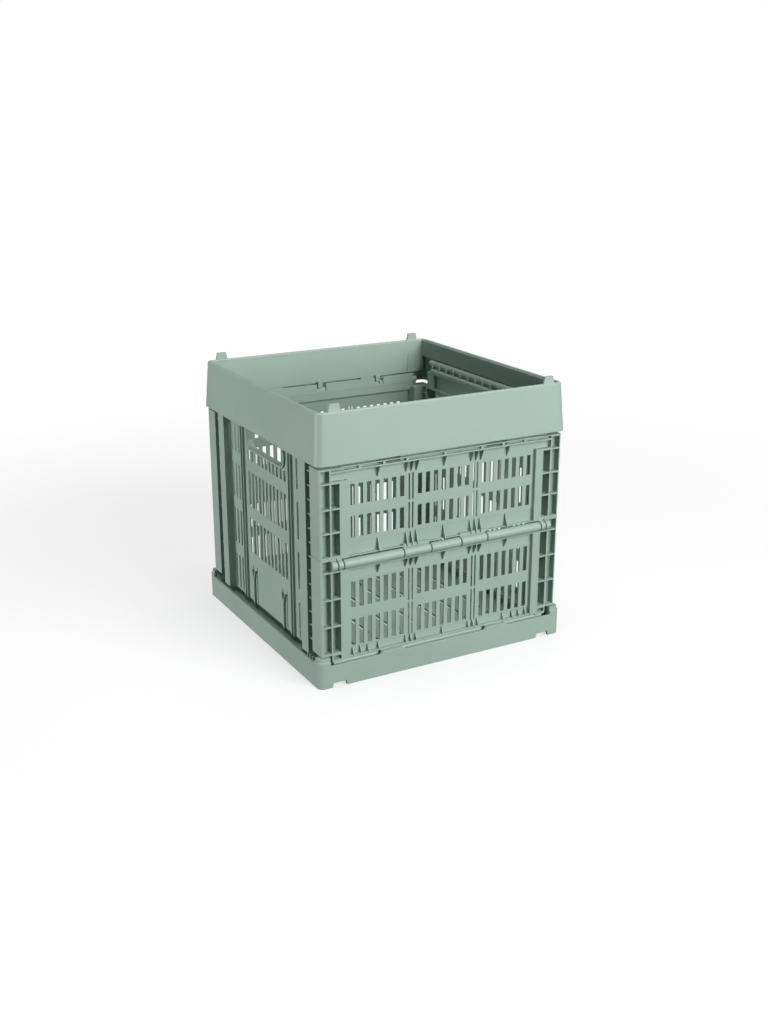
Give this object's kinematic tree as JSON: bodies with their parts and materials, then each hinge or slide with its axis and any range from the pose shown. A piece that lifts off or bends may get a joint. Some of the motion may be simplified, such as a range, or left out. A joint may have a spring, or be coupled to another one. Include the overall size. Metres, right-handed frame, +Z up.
{
  "type": "collapsible storage crate",
  "caption": "Square open-top crate with slotted walls: the end panels swing up under a deep rim collar and the side walls fold inward at mid height.",
  "frame": {"origin": "centre of the base's footprint, on the surface the crate stands on", "axes": "+Z up towards the open top, +X along the folding front wall to the right, +Y from the front wall to the back wall"},
  "size_m": [0.345, 0.345, 0.3395],
  "materials": {
    "crate_plastic": "satin",
    "pin_plastic": "satin"
  },
  "bodies": {
    "base": {"base_tray": "crate_plastic", "front_base_hinge_pin_a": "pin_plastic", "front_base_hinge_pin_b": "pin_plastic", "back_base_hinge_pin_a": "pin_plastic", "back_base_hinge_pin_b": "pin_plastic"},
    "front_lower": {"front_lower_wall": "crate_plastic", "front_mid_hinge_pin_a": "pin_plastic", "front_mid_hinge_pin_b": "pin_plastic"},
    "front_upper": {"front_upper_wall": "crate_plastic"},
    "back_lower": {"back_lower_wall": "crate_plastic", "back_mid_hinge_pin_a": "pin_plastic", "back_mid_hinge_pin_b": "pin_plastic"},
    "back_upper": {"back_upper_wall": "crate_plastic"},
    "rim": {"rim_collar": "crate_plastic", "front_rim_hinge_pin_a": "pin_plastic", "front_rim_hinge_pin_b": "pin_plastic", "back_rim_hinge_pin_a": "pin_plastic", "back_rim_hinge_pin_b": "pin_plastic", "left_end_hinge_pin_a": "pin_plastic", "left_end_hinge_pin_b": "pin_plastic", "right_end_hinge_pin_a": "pin_plastic", "right_end_hinge_pin_b": "pin_plastic"},
    "left_end": {"left_end_panel": "crate_plastic"},
    "right_end": {"right_end_panel": "crate_plastic"}
  },
  "joints": [
    {"name": "front_wall_fold", "type": "hinge", "parent": "base", "child": "front_lower", "pos_m": [0, -0.16, 0.026], "axis": [-1, 0, 0], "range_deg": [0, 1]},
    {"name": "front_mid_fold", "type": "hinge", "parent": "front_lower", "child": "front_upper", "pos_m": [0, -0.1665, 0.15], "axis": [-1, 0, 0], "range_deg": [-2, 0]},
    {"name": "rim_level", "type": "hinge", "parent": "front_upper", "child": "rim", "pos_m": [0, -0.16, 0.274], "axis": [-1, 0, 0], "range_deg": [0, 1]},
    {"name": "back_wall_fold", "type": "hinge", "parent": "base", "child": "back_lower", "pos_m": [0, 0.16, 0.026], "axis": [1, 0, 0], "range_deg": [0, 1]},
    {"name": "back_mid_fold", "type": "hinge", "parent": "back_lower", "child": "back_upper", "pos_m": [0, 0.1665, 0.15], "axis": [1, 0, 0], "range_deg": [-2, 0]},
    {"name": "left_end_swing", "type": "hinge", "parent": "rim", "child": "left_end", "pos_m": [-0.158, 0, 0.318], "axis": [0, -1, 0], "range_deg": [0, 90]},
    {"name": "right_end_swing", "type": "hinge", "parent": "rim", "child": "right_end", "pos_m": [0.158, 0, 0.301], "axis": [0, 1, 0], "range_deg": [0, 90]}
  ],
  "couplings": [
    {"joint": "front_mid_fold", "follows": "front_wall_fold", "ratio": -2},
    {"joint": "rim_level", "follows": "front_wall_fold", "ratio": 1},
    {"joint": "back_wall_fold", "follows": "front_wall_fold", "ratio": 1},
    {"joint": "back_mid_fold", "follows": "front_wall_fold", "ratio": -2}
  ]
}
